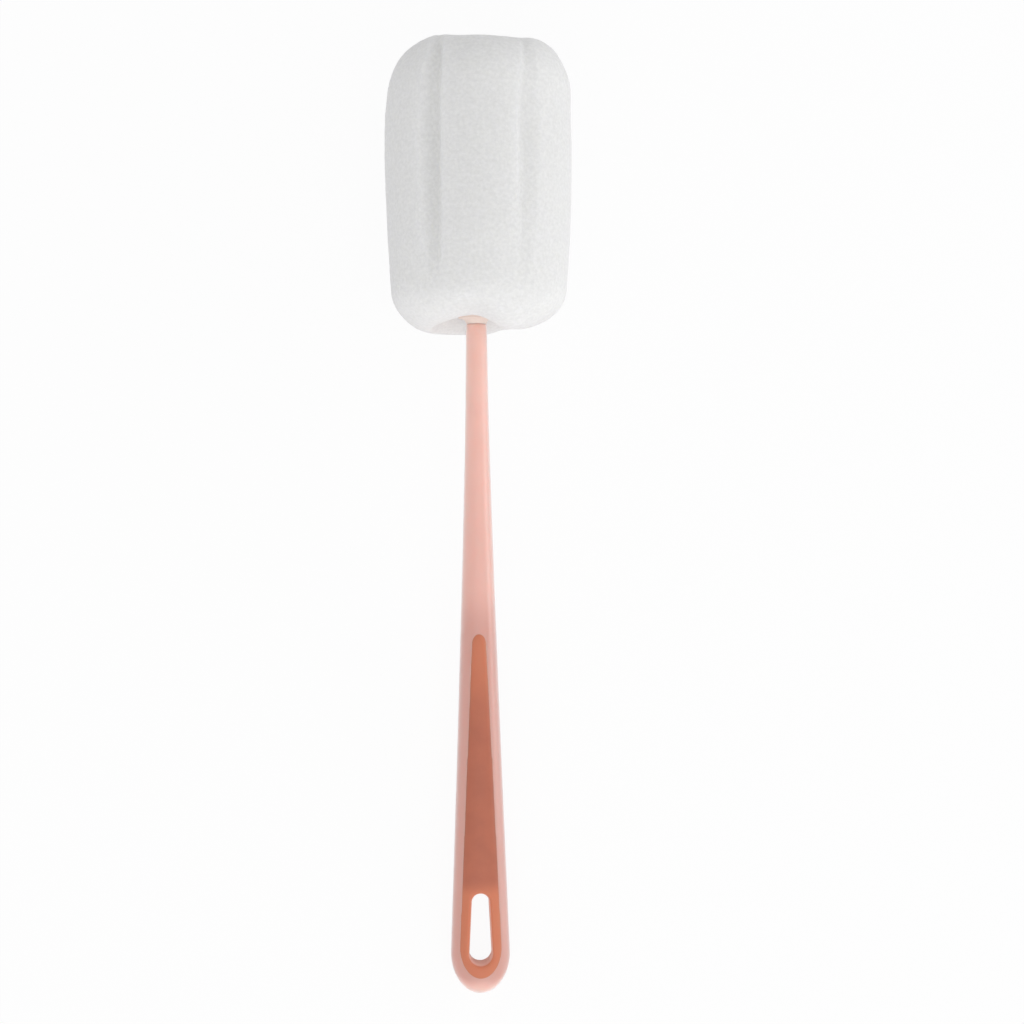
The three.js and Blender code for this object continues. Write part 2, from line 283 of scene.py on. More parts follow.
def tapered_outline(name, plan, height):
    """The outline as a flat filled face, left in edit mode and selected."""
    low_middle = plan["foot"] + plan["wide"] / 2 * plan["stretch"]
    high_middle = plan["top"] - plan["narrow"] / 2 * plan["stretch"]
    lean = (plan["wide"] - plan["narrow"]) / 2 / (high_middle - low_middle) * plan["stretch"]
    tangent = lean * plan["wide"] / 2 * plan["stretch"]
    centre = (0, low_middle, height)
    bpy.ops.object.select_all(action="DESELECT")
    bpy.ops.mesh.primitive_circle_add(
        vertices=outline_points, radius=plan["wide"] / 2, fill_type="NGON", location=centre)
    outline = bpy.context.object
    outline.name = name
    bpy.ops.object.mode_set(mode="EDIT")
    bpy.ops.transform.resize(value=(1, plan["stretch"], 1), center_override=centre)
    bpy.ops.mesh.select_all(action="DESELECT")
    shape = bmesh.from_edit_mesh(outline.data)
    for vertex in shape.verts:
        vertex.select = vertex.co.y > tangent
    shape.select_flush(True)
    bpy.ops.transform.resize(value=(plan["narrow"] / plan["wide"],) * 3, center_override=centre)
    bpy.ops.transform.translate(value=(0, high_middle - low_middle, 0))
    bpy.ops.mesh.select_all(action="DESELECT")
    bpy.ops.mesh.select_mode(type="EDGE")
    shape = bmesh.from_edit_mesh(outline.data)
    for edge in shape.edges:
        edge.select = edge.calc_length() > long_side
    bpy.ops.mesh.subdivide(number_cuts=side_cuts)
    bpy.ops.mesh.select_mode(type="VERT")
    bpy.ops.mesh.select_all(action="SELECT")
    return outline


print("slot length in mm:", round((slot_plan["top"] - slot_plan["foot"]) / mm, 1))

# %% [markdown]
# The outline becomes a solid in two ways. A straight solid is one extrusion, for the hole and the
# lining of the slot. A draped solid rises from a flat floor, and the rings that round its edge are
# lifted point by point to the height of the handle's curved face. It then either carries on past the
# handle, as a cutter does, or is closed by smaller and smaller rings that follow the face to a seam
# along the middle, as the domed panels of the grip are. The rings are first extruded at a high datum,
# which marks them for the lifting.

# %% Draped and straight solids
beyond = 12 * mm
datum = 100 * mm
cap_rings = 8
weld = 0.005 * mm


def face_height(x, y, raised):
    """Height of the handle's front face above its middle, at a place across and along it."""
    half_width, half_depth, fullness = handle_section(y)
    inward = min(abs(x) / half_width, 1) ** fullness
    return (half_depth + raised) * (1 - inward) ** (1 / fullness)


def draped_solid(name, plan, floor, edge, raised, facing, draft=0, domed=False):
    """The outline from a floor up through an edge, given as a list of (height over the face, margin)."""
    half_width, half_length = plan["wide"] / 2, (plan["top"] - plan["foot"]) / 2
    centre = (plan["foot"] + plan["top"]) / 2
    first, last = edge[0][1], edge[-1][1]
    levels = [(datum + height, margin) for height, margin in edge]
    if domed:
        for step in range(1, cap_rings + 1):
            levels.append((datum, last - (half_width + last) * step / cap_rings))
    else:
        levels.append((2 * datum, last))
    solid = tapered_outline(name, plan, floor)
    height, across, up = floor, half_width + first - draft, half_length + first - draft
    bpy.ops.transform.resize(
        value=(across / half_width, up / half_length, 1), center_override=(0, centre, floor))
    for next_height, margin in levels:
        next_across, next_up = half_width + margin, half_length + margin
        bpy.ops.mesh.extrude_region_move(
            TRANSFORM_OT_translate={"value": (0, 0, next_height - height)})
        bpy.ops.transform.resize(
            value=(next_across / across, next_up / up, 1), center_override=(0, centre, next_height))
        height, across, up = next_height, next_across, next_up
    if domed:
        bpy.ops.mesh.delete(type="ONLY_FACE")
        bpy.ops.mesh.select_all(action="SELECT")
        bpy.ops.mesh.remove_doubles(threshold=weld)
    bpy.ops.object.mode_set(mode="OBJECT")
    bpy.ops.object.transform_apply(location=True, rotation=True, scale=True)
    for vertex in solid.data.vertices:
        if vertex.co.z > 1.5 * datum:
            vertex.co.z = beyond
        elif vertex.co.z > 0.5 * datum:
            vertex.co.z += face_height(vertex.co.x, vertex.co.y, raised) - datum
        vertex.co.z *= facing
    face_outward()
    return solid


def straight_solid(name, plan, margin, reach):
    """The outline grown by a margin, from one reach below the handle's middle to one above it."""
    grown = {
        "foot": plan["foot"] - margin, "top": plan["top"] + margin, "stretch": plan["stretch"],
        "wide": plan["wide"] + 2 * margin, "narrow": plan["narrow"] + 2 * margin}
    solid = tapered_outline(name, grown, -reach)
    bpy.ops.mesh.extrude_region_move(TRANSFORM_OT_translate={"value": (0, 0, 2 * reach)})
    bpy.ops.object.mode_set(mode="OBJECT")
    bpy.ops.object.transform_apply(location=True, rotation=True, scale=True)
    face_outward()
    return solid


def rounded_edge(height, reach, steps=6):
    """A quarter oval from a wall up onto the face. It reaches outward for a mouth, inward for a lip."""
    edge = []
    for step in range(steps + 1):
        angle = step / steps * math.pi / 2
        edge.append((-height * (1 - math.sin(angle)), reach * (1 - math.cos(angle))))
    return edge


# %% [markdown]
# The handle's form becomes the real moulding by cutting: a shallow pocket on the front and on the
# back for the soft grip, leaving a web between them, and a hole right through for the slot's lining.
# On the real brush the rubber is moulded against the plastic without a gap. So the pockets and the
# hole are a little smaller than the rubber, and the two smooth faces simply cross in a clean line.
# The neck carries on into a thin tapered spigot, which the head is pushed onto. It is its own ring
# loft, sunk into the neck and joined on, because a tapered peg needs only a handful of rings.

# %% Cut the pockets and add the spigot
web = 4.6 * mm
pocket_margin, pocket_rounding = -0.9 * mm, 0.15 * mm
slot_lining, lining_overlap = 1.2 * mm, 0.35 * mm
spigot_base, spigot_tip, spigot_chamfer = 2.8 * mm, 2.4 * mm, 0.8 * mm
spigot_root, spigot_sides = 6 * mm, 48
handle_voxel, handle_smoothing = 0.36 * mm, 4
pocket_edge = [
    (height, margin + pocket_margin)
    for height, margin in rounded_edge(pocket_rounding, pocket_rounding)]
for facing in (1, -1):
    pocket = draped_solid("pocket", inlay_plan, web / 2, pocket_edge, 0, facing)
    combine(handle, pocket, "DIFFERENCE")
slot_hole = straight_solid("slot_hole", slot_plan, slot_lining - lining_overlap, beyond)
combine(handle, slot_hole, "DIFFERENCE")
spigot = ring_loft("spigot", round_rings([
    (shoulder - spigot_root, spigot_base),
    (shoulder, spigot_base),
    (handle_high.y - spigot_chamfer, spigot_tip),
    (handle_high.y, spigot_tip - spigot_chamfer)]), spigot_sides)
combine(handle, spigot, "UNION")
even_skin(handle, handle_voxel, handle_smoothing)
print("handle skin has", len(handle.data.polygons), "faces")

# %% [markdown]
# The pink plastic is slightly translucent. Near the rubber it is painted darker, a painted shade that
# fades out round the butt and, in two stages, up the neck. How near each point is to the rubber is kept
# on the mesh as an attribute, and the finish reads it to paint that shade.

# %% Painted shade on the pink plastic
painted_shade_near, painted_shade_far = 3 * mm, 12 * mm
tip_fade, tip_fade_length = 0.62, 16 * mm
butt_fade_length = 3.5 * mm


def inlay_half_width(place):
    """Half the width of the grip's outline at a place along the handle, and nothing beyond its ends."""
    low_reach = inlay_plan["wide"] / 2 * inlay_plan["stretch"]
    high_reach = inlay_plan["narrow"] / 2 * inlay_plan["stretch"]
    low_middle, high_middle = inlay_plan["foot"] + low_reach, inlay_plan["top"] - high_reach
    share = min(max((place - low_middle) / (high_middle - low_middle), 0), 1)
    width = inlay_plan["wide"] / 2 + (inlay_plan["narrow"] - inlay_plan["wide"]) / 2 * share
    beyond_low = max(low_middle - place, 0) / low_reach
    beyond_high = max(place - high_middle, 0) / high_reach
    return width * math.sqrt(max(1 - max(beyond_low, beyond_high) ** 2, 0))


inlay_foot, inlay_top = inlay_plan["foot"], inlay_plan["top"]
# painted shade: the pink is darker near the grip and, fading, up the neck
painted_shade_pink = handle.data.attributes.new("painted_shade_pink", "FLOAT", "POINT")
for vertex in handle.data.vertices:
    place = vertex.co.y
    near = 1 - smooth_step(abs(vertex.co.x) - inlay_half_width(place), painted_shade_near, painted_shade_far)
    near *= 1 - tip_fade * smooth_step(place, inlay_top, inlay_top + tip_fade_length)
    near *= 1 - smooth_step(place, inlay_top, shoulder)
    near *= smooth_step(place, inlay_foot - butt_fade_length, inlay_foot)
    painted_shade_pink.data[vertex.index].value = near
on_the_table(handle)

# %% [markdown]
# The soft grip is moulded into the pockets and stands a little proud of the handle. It has two panels,
# and each is a domed solid that follows the handle's raised face. Its edge is a rounded lip, and the
# lip is rooted below the plastic. The slot's lining runs through the web and joins the two
# panels, so the grip is one piece, as it is on the real brush. The slot's two mouths are cut last,
# with a rounded rim and the slight draft that lets a moulding leave its tool.

# %% Soft grip
inlay_proud, panel_root = 0.35 * mm, 1.5 * mm
lip_height, lip_reach, lip_root = 1.1 * mm, 2.9 * mm, 0.65 * mm
lining_reach = web / 2 + 0.8 * mm
mouth_rounding, mouth_rise = 1.3 * mm, 0.02 * mm
slot_draft, past_middle = 0.1 * mm, 0.5 * mm
grip_voxel, grip_smoothing = 0.265 * mm, 5
lip = [(height, lip_root + margin) for height, margin in rounded_edge(lip_height, -lip_reach)]
grip = draped_solid("soft_grip", inlay_plan, panel_root, lip, inlay_proud, 1, domed=True)
back_panel = draped_solid("back_panel", inlay_plan, panel_root, lip, inlay_proud, -1, domed=True)
combine(grip, back_panel, "UNION")
combine(grip, straight_solid("lining", slot_plan, slot_lining, lining_reach), "UNION")
mouth_edge = [
    (height + mouth_rise, margin)
    for height, margin in rounded_edge(mouth_rounding, mouth_rounding)]
for facing in (1, -1):
    slot_air = draped_solid(
        "slot_air", slot_plan, -past_middle, mouth_edge, inlay_proud, facing, draft=slot_draft)
    combine(grip, slot_air, "DIFFERENCE")
even_skin(grip, grip_voxel, grip_smoothing)
print("grip skin has", len(grip.data.polygons), "faces")

# %% [markdown]
# Round the slot and towards the narrow tip there is little rubber, and there it is painted a lighter
# orange: painted light, which stands in for light coming through the thin rubber. The wall of the slot
# is painted paler still, also painted light. Two more attributes keep where that is.

# %% Painted light on the thin rubber
slot_fade_start, slot_fade_end = slot_plan["top"] - 1 * mm, slot_plan["top"] + 5 * mm
tip_start, tip_end = inlay_plan["top"] - 34 * mm, inlay_plan["top"] - 5 * mm
tip_share = 0.85
wall_start, wall_end = 0.1 * mm, 0.4 * mm


def from_slot(place):
    """Distance of a place from the slot's outline, seen from the front."""
    low_middle = slot_plan["foot"] + slot_plan["wide"] / 2
    high_middle = slot_plan["top"] - slot_plan["narrow"] / 2
    share = min(max((place.y - low_middle) / (high_middle - low_middle), 0), 1)
    radius = (slot_plan["wide"] + (slot_plan["narrow"] - slot_plan["wide"]) * share) / 2
    return math.hypot(place.x, place.y - low_middle - (high_middle - low_middle) * share) - radius


# painted light: a lighter orange round the slot and towards the grip's tip
painted_light_thin_rubber = grip.data.attributes.new("painted_light_thin_rubber", "FLOAT", "POINT")
# painted light: the slot's wall is painted paler
painted_light_slot_wall = grip.data.attributes.new("painted_light_slot_wall", "FLOAT", "POINT")
for vertex in grip.data.vertices:
    above = smooth_step(vertex.co.y, slot_fade_start, slot_fade_end)
    to_tip = smooth_step(vertex.co.y, tip_start, tip_end)
    painted_light_thin_rubber.data[vertex.index].value = max(1 - above, tip_share * to_tip)
    painted_light_slot_wall.data[vertex.index].value = 1 - smooth_step(from_slot(vertex.co), wall_start, wall_end)
on_the_table(grip)

# %% [markdown]
# The core is the little plastic part that joins the foam to the handle. Only its flared collar shows
# below the foam, but it carries on inside as a tube with barbs that hold the glued foam, and it closes
# over the spigot. It is turned, so one list of rings walks from the closed end of its bore, down the
# bore, round the collar and up the outside.

# %% Head core
bore_top = handle_high.y + clearance
collar_foot, collar_radius, neck_radius = core_low.y, core_high.x, widths[-1] / 2
flare_height, flange = 1.9 * mm, 1 * mm
tube, barb = 4.2 * mm, 5.1 * mm
barb_count, barb_pitch, barb_height = 4, 11 * mm, 7 * mm
tip_rounding = 3 * mm
chamfer = 0.15 * mm
closing = 0.2 * mm
flare_steps, tip_steps, core_sides = 12, 8, 96
sharp_angle = math.radians(40)
outline = [
    (bore_top, closing), (bore_top, spigot_tip), (bore_top - chamfer, spigot_tip + clearance),
    (collar_foot, spigot_base + clearance), (collar_foot, neck_radius - chamfer)]
for step in range(flare_steps + 1):
    angle = step / flare_steps * math.pi / 2
    place = collar_foot + chamfer + (flare_height - chamfer) * math.sin(angle)
    outline.append((place, neck_radius + (collar_radius - neck_radius) * (1 - math.cos(angle))))
flange_top = collar_foot + flare_height + flange
outline += [
    (flange_top - 2 * chamfer, collar_radius), (flange_top, collar_radius - 2 * chamfer),
    (flange_top, tube)]
for index in range(barb_count):
    barb_foot = flange_top + barb_pitch / 2 + index * barb_pitch
    outline += [
        (barb_foot, tube), (barb_foot, barb - chamfer), (barb_foot + chamfer, barb),
        (barb_foot + barb_height, tube)]
for step in range(tip_steps + 1):
    angle = step / tip_steps * math.pi / 2
    place = core_high.y - tip_rounding * (1 - math.sin(angle))
    outline.append((place, tube - tip_rounding * (1 - math.cos(angle))))
outline.append((core_high.y, closing))
core = ring_loft("head_collar", round_rings(outline), core_sides)
on_the_table(core)
core.data.set_sharp_from_angle(angle=sharp_angle)
print("collar diameter in mm:", round(2 * collar_radius / mm, 1))

# %% [markdown]
# The foam head starts as a plain turned form: a drawn-up foot, a wide rounded lower edge, slightly
# barrel-shaped sides, and a rounded upper edge with a flat top.

# %% Foam head form
foot, crown = foam_low.y, foam_high.y
foam_radius = 30.9 * mm
foot_radius, top_radius = 28.8 * mm, 30.4 * mm
widest = foot + 57.5 * mm
foot_edge, foot_edge_height = 16.5 * mm, 13 * mm
top_edge, top_edge_height = 13 * mm, 18.5 * mm
side_foot, side_top = foot + foot_edge_height, crown - top_edge_height
rim = 16 * mm
dish = 4.8 * mm
dish_steps, foot_steps, side_steps, top_steps, foam_sides = 16, 12, 20, 16, 144
edge_start = math.asin((rim - foot_radius + foot_edge) / foot_edge)


def side_radius(place):
    """Radius of the barrel-shaped side between the two rounded edges."""
    if place < widest:
        share = (widest - place) / (widest - foot - foot_edge_height)
        return foam_radius + (foot_radius - foam_radius) * share ** 2
    share = (place - widest) / (crown - top_edge_height - widest)
    return foam_radius + (top_radius - foam_radius) * share ** 2


outline = []
rim_height = foot_edge_height * (1 - math.cos(edge_start))
for step in range(1, dish_steps + 1):
    radius = rim * step / dish_steps
    share = min(max((radius - collar_radius) / (rim - collar_radius), 0), 1)
    outline.append((foot + rim_height + (dish - rim_height) * math.cos(share * math.pi / 2), radius))
for step in range(1, foot_steps + 1):
    angle = edge_start + (math.pi / 2 - edge_start) * step / foot_steps
    radius = foot_radius - foot_edge * (1 - math.sin(angle))
    outline.append((foot + foot_edge_height * (1 - math.cos(angle)), radius))
for step in range(1, side_steps + 1):
    place = side_foot + (side_top - side_foot) * step / side_steps
    outline.append((place, side_radius(place)))
for step in range(1, top_steps + 1):
    angle = step / top_steps * math.pi / 2
    radius = top_radius - top_edge * (1 - math.cos(angle))
    outline.append((side_top + top_edge_height * math.sin(angle), radius))
for share in (0.7, 0.4, 0.1):
    outline.append((crown, (top_radius - top_edge) * share))
foam = ring_loft("foam_head", round_rings(outline), foam_sides)
print("foam form has", len(foam.data.polygons), "faces")

# %% [markdown]
# Six grooves part the lobes. Each is a ring loft with an elliptical section that thins to a point near
# the foot, where the real grooves fade out, and that runs out through the top. A groove is steep beside
# a crisp lobe and rises gently into the soft lobe on its other side, so every other groove is
# mirrored. Over the rounded crown it swings towards the soft lobe, which lets the crisp lobe keep its
# width, and it bites deeper halfway round the edge. Foam is cut unevenly, so each groove has its own
# depth. They are cut one at a time, because joined cutters that overlap can spoil a Boolean.

# %% Grooves between the lobes
groove_depths = [0.9 * mm, 2.2 * mm, 2.5 * mm, 2.3 * mm, 2.5 * mm, 2.1 * mm]
gentle_reaches = [2.0, 1.6, 1.6, 1.6, 1.6, 1.6]
lobes = len(groove_depths)
half_pitch = math.pi / lobes
groove_half_width = 3.5 * mm
groove_start, groove_full = foot + 11 * mm, foot + 30 * mm
crown_bite, crown_fade, swing_share = 0.6, 0.85, 0.6
past_crown = 3 * mm
run_out_steps, crown_steps, groove_sides = 24, 9, 40


def groove_cutter(index):
    """One groove, turned to its place round the head."""
    depth = groove_depths[index]
    rings = []
    for step in range(run_out_steps + 1):
        share = step / run_out_steps
        place = groove_start + (groove_full - groove_start) * share
        below = foam_radius - side_radius(max(place, side_foot))
        rings.append((place, groove_half_width, below + depth * smooth_step(share, 0, 1)))
    for step in range(crown_steps + 1):
        share = step / crown_steps
        angle = share * math.pi / 2
        place = side_top + top_edge_height * math.sin(angle)
        below = foam_radius - top_radius + top_edge * (1 - math.cos(angle))
        bite = depth * (1 + crown_bite * math.sin(math.pi * share) - crown_fade * share)
        rings.append((place, groove_half_width, below + bite))
    rings.append((crown + past_crown, *rings[-1][1:]))
    cutter = ring_loft("groove", rings, groove_sides)
    gentle_side = 1 if index % 2 == 0 else -1
    for vertex in cutter.data.vertices:
        if vertex.co.x * gentle_side > 0:
            share = min(abs(vertex.co.x) / groove_half_width, 1)
            vertex.co.z *= 1 - share ** 2
            vertex.co.x *= gentle_reaches[index]
        vertex.co.z += foam_radius
        if vertex.co.y > side_top:
            rise = min((vertex.co.y - side_top) / top_edge_height, 1)
            radius = top_radius - top_edge * (1 - math.sqrt(1 - rise ** 2))
            straight_on = math.asin(foam_radius * math.sin(half_pitch) / radius)
            swing = swing_share * (straight_on - half_pitch)
            vertex.co.x += gentle_side * radius * math.sin(swing)
            vertex.co.z -= radius * (1 - math.cos(swing))
    cutter.rotation_euler.y = (2 * index + 1) * half_pitch
    bpy.ops.object.transform_apply(location=False, rotation=True, scale=False)
    return cutter


for index in range(lobes):
    combine(foam, groove_cutter(index), "DIFFERENCE")
print("foam with grooves has", len(foam.data.polygons), "faces")

# %% [markdown]
# The foam is glued round the core, so it gets a socket that clears the flange and the barbed tube.
# Its skin is then rebuilt in even voxels, which rounds the groove edges as cut foam is rounded.

# %% Socket and skin
socket_radius, bore_radius = collar_radius + clearance, barb + clearance
socket_sides = 64
foam_voxel, foam_smoothing = 0.56 * mm, 6
socket = ring_loft("socket", round_rings([
    (foot - dish, socket_radius), (flange_top + clearance, socket_radius),
    (flange_top + clearance, bore_radius), (core_high.y + clearance, bore_radius)]), socket_sides)
combine(foam, socket, "DIFFERENCE")
even_skin(foam, foam_voxel, foam_smoothing)
print("foam skin has", len(foam.data.polygons), "faces")

# %% [markdown]
# Foam is never quite regular. This head leans a little to one side, its foot is drawn up in an arch at
# the front and sags at the back, and its top is slightly higher over two of the lobes. These shapes
# are large and soft, so they are moved point by point, each faded in and out over a span.

# %% Uneven foam
head_turn = math.radians(-1.3)
side_lean, crown_lean = 0.9 * mm, 0.8 * mm
rim_rise, rim_droop = 3.1 * mm, 1.5 * mm
rise_place, droop_place = -2.5 * mm, 10.5 * mm
rise_reach, droop_end = 16.5 * mm, 24 * mm
foot_sag, foot_tuck = 0.75 * mm, 0.45 * mm
sag_span, tuck_span, tuck_end_span = (-28 * mm, -20 * mm), (3 * mm, 9 * mm), (9 * mm, 22 * mm)
end_slant = 0.02
crown_lift, left_lift, right_lift = 0.4 * mm, 0.9 * mm, 1.4 * mm
left_up, left_down = (6 * mm, 15 * mm), (14 * mm, 23 * mm)
right_up, right_down = (9 * mm, 20 * mm), (23 * mm, 29 * mm)
front_slope, slope_span = 1.8 * mm, (8 * mm, 26 * mm)
outer_span, dish_span, front_span = (8 * mm, 20 * mm), (6 * mm, 13 * mm), (-6 * mm, 10 * mm)
rim_zone = (foot + 1 * mm, foot + 11 * mm)
foot_zone = (foot, foot + 24 * mm)
low_zone = (foot + 6 * mm, foot + 32 * mm)
crown_zone = (crown - 24 * mm, crown - 8 * mm)


def front_rim(x):
    """Rise of the foot's front edge: a long slope up from the left, then down to a droop on the right."""
    if x < rise_place:
        share = min((rise_place - x) / rise_reach, 1)
        return rim_rise * math.cos(share * math.pi / 2) ** 2
    if x < droop_place:
        share = (x - rise_place) / (droop_place - rise_place)
        return (rim_rise - rim_droop) / 2 + (rim_rise + rim_droop) / 2 * math.cos(share * math.pi)
    return -rim_droop * (1 - smooth_step(x, droop_place, droop_end))


def back_rim(x):
    """Rise of the foot's back edge: it sags on the left of the handle and is tucked up on its right."""
    left = -foot_sag * smooth_step(x, *sag_span)
    right = (foot_sag + foot_tuck) * smooth_step(x, *tuck_span)
    return left + right - foot_tuck * smooth_step(x, *tuck_end_span)


turn = Matrix.Rotation(head_turn, 4, "Y")
for vertex in foam.data.vertices:
    point = turn @ vertex.co
    off_axis = math.hypot(point.x, point.z)
    outer = smooth_step(off_axis, *outer_span)
    nearness = smooth_step(point.z, *front_span)
    rise = front_rim(point.x) * nearness + back_rim(point.x) * (1 - nearness)
    rise *= smooth_step(off_axis, *dish_span) * (1 - smooth_step(point.y, *rim_zone))
    near_crown = smooth_step(point.y, *crown_zone)
    near_foot = 1 - smooth_step(point.y, *foot_zone)
    left = left_lift * smooth_step(-point.x, *left_up) * (1 - smooth_step(-point.x, *left_down))
    right = right_lift * smooth_step(point.x, *right_up) * (1 - smooth_step(point.x, *right_down))
    point.y += rise + (crown_lift + left + right) * near_crown
    low = 1 - smooth_step(point.y, *low_zone)
    point.z -= front_slope * low * smooth_step(point.z, *slope_span)
    point.y += end_slant * point.x * outer * (near_foot - near_crown)
    point.x += side_lean * outer + crown_lean * near_crown * outer
    vertex.co = point
print("foam leans by", side_lean / mm, "mm")

# %% [markdown]
# Two Displace modifiers with cloud textures add the slow unevenness of the block and its open pores.
# The pores are real geometry, so they also catch the light at the outline. The lobe that lies on the
# table is then pressed flat by it.

# %% Pores
cloud_depth = 2
for label, size, strength in (("slow", 22 * mm, 0.5 * mm), ("pores", 1.4 * mm, 0.16 * mm)):
    cloud = bpy.data.textures.new("foam_" + label, "CLOUDS")
    cloud.noise_scale = size
    cloud.noise_depth = cloud_depth
    displace = foam.modifiers.new(label, "DISPLACE")
    displace.texture = cloud
    displace.texture_coords = "LOCAL"
    displace.strength = strength
    displace.mid_level = 0.5
    apply_modifier(foam, displace)
on_the_table(foam)
pressed = [vertex for vertex in foam.data.vertices if vertex.co.z < 0]
for vertex in pressed:
    vertex.co.z = 0
print("points pressed flat by the table:", len(pressed))

# %% [markdown]
# Each piece now takes its place: it rides on a body of the frame and stands in for the plain solid.
# The table also lists the material slot of the record that it is made of.

# %% Take the places of the plain solids
for piece, body, node, slot in (
        (handle, "handle", "handle", "handle_plastic"),
        (grip, "handle", "grip_inlay", "soft_grip"),
        (core, "head", "head_core", "core_plastic"),
        (foam, "head", "sponge_head", "foam")):
    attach(piece, body)
    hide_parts(node)
print("pieces placed:", handle.name, grip.name, core.name, foam.name)

# %% [markdown]
# Every finish is a Principled shader fed by noise on Object coordinates, scaled so that one unit of
# the pattern is a millimetre. The plastics are satin mouldings: their colour hardly varies, and most of
# what tells them from flat paint is a faint uneven gloss and a fine spark-eroded grain.

# %% Finish helpers
noise_low, noise_high = 0.3, 0.7
grain_height = 0.05 * mm


def new_finish(name):
    """A new material, its nodes and links, its shader, and coordinates in millimetres."""
    finish = bpy.data.materials.new(name)
    finish.use_nodes = True
    nodes = finish.node_tree.nodes
    links = finish.node_tree.links
    shader = nodes["Principled BSDF"]
    place = nodes.new("ShaderNodeTexCoord")
    millimetres = nodes.new("ShaderNodeMapping")
    millimetres.inputs["Scale"].default_value = (1000, 1000, 1000)
    links.new(place.outputs["Object"], millimetres.inputs["Vector"])
    return finish, nodes, links, shader, millimetres.outputs["Vector"]


def set_inputs(node, values):
    """Writes constants on a node's own sockets."""
    for socket, value in values.items():
        node.inputs[socket].default_value = value


def noise_in_mm(nodes, links, vector, feature, detail):
    """Noise whose blotches are about as wide as the feature, in millimetres."""
    texture = nodes.new("ShaderNodeTexNoise")
    set_inputs(texture, {"Scale": 1 / feature, "Detail": detail})
    links.new(vector, texture.inputs["Vector"])
    return texture.outputs["Fac"]


def spread(nodes, links, value, low, high):
    """Maps noise from its usual span onto a range."""
    node = nodes.new("ShaderNodeMapRange")
    set_inputs(node, {
        "From Min": noise_low, "From Max": noise_high, "To Min": low, "To Max": high})
    links.new(value, node.inputs["Value"])
    return node.outputs["Result"]


def two_tones(nodes, links, value, dark, light):
    """A colour that wanders between two near tones."""
    ramp = nodes.new("ShaderNodeValToRGB")
    stops = ramp.color_ramp.elements
    stops[0].position, stops[0].color = noise_low, (*dark, 1)
    stops[1].position, stops[1].color = noise_high, (*light, 1)
    links.new(value, ramp.inputs["Fac"])
    return ramp.outputs["Color"]


def add_bump(nodes, links, shader, height, strength, distance):
    """Fine relief that is too small to model."""
    bump = nodes.new("ShaderNodeBump")
    set_inputs(bump, {"Strength": strength, "Distance": distance})
    links.new(height, bump.inputs["Height"])
    links.new(bump.outputs["Normal"], shader.inputs["Normal"])


def moulded_finish(name, dark, light, blotch, gloss, grain, grain_strength):
    """A moulded plastic or rubber: near tones, uneven gloss and a fine grain."""
    finish, nodes, links, shader, vector = new_finish(name)
    blotches = noise_in_mm(nodes, links, vector, blotch, 3)
    links.new(two_tones(nodes, links, blotches, dark, light), shader.inputs["Base Color"])
    links.new(spread(nodes, links, blotches, *gloss), shader.inputs["Roughness"])
    fine = noise_in_mm(nodes, links, vector, grain, 2)
    add_bump(nodes, links, shader, fine, grain_strength, grain_height)
    return finish, shader


def tint_where(finish, shader, attribute, colour):
    """Mixes a colour in where a mesh attribute is high."""
    nodes, links = finish.node_tree.nodes, finish.node_tree.links
    plain = shader.inputs["Base Color"].links[0].from_socket
    share = nodes.new("ShaderNodeAttribute")
    share.attribute_name = attribute
    mix = nodes.new("ShaderNodeMixRGB")
    mix.inputs["Color2"].default_value = (*colour, 1)
    links.new(share.outputs["Fac"], mix.inputs["Fac"])
    links.new(plain, mix.inputs["Color1"])
    links.new(mix.outputs["Color"], shader.inputs["Base Color"])


def dress(piece, finish):
    """Makes this finish the piece's only material."""
    piece.data.materials.clear()
    piece.data.materials.append(finish)


# %% [markdown]
# The pink plastic is glossy under a soft bloom: a coat gives the broad highlight, sheen lightens its
# edges, and light spreads a little way inside it. The rubber is duller and darker, with a coarser grain
# and a warm sheen. The attributes kept on the meshes paint shade into the pink near the grip and up the
# neck, and paint light into the rubber round the slot, on its wall and towards the tip. The core is the
# same kind of plastic, paler and plain.

# %% Plastic and rubber finishes
pink, pink_shader = moulded_finish(
    "pink_plastic", dark=(0.925, 0.525, 0.43), light=(0.95, 0.555, 0.46), blotch=9,
    gloss=(0.30, 0.38), grain=0.35, grain_strength=0.12)
# painted shade: a deeper pink mixed in near the grip and up the neck
tint_where(pink, pink_shader, "painted_shade_pink", (0.69, 0.315, 0.245))
set_inputs(pink_shader, {
    "Specular IOR Level": 0.9, "Sheen Weight": 1.0, "Sheen Roughness": 0.55,
    "Coat Weight": 1.0, "Coat Roughness": 0.35, "Subsurface Weight": 1.0,
    "Subsurface Radius": (1.0, 0.6, 0.5), "Subsurface Scale": 1.6 * mm})
terracotta, terracotta_shader = moulded_finish(
    "terracotta_rubber", dark=(0.44, 0.12, 0.062), light=(0.50, 0.142, 0.075), blotch=7,
    gloss=(0.44, 0.54), grain=0.4, grain_strength=0.25)
# painted light: a lighter orange mixed in round the slot and towards the tip
tint_where(terracotta, terracotta_shader, "painted_light_thin_rubber", (0.64, 0.195, 0.095))
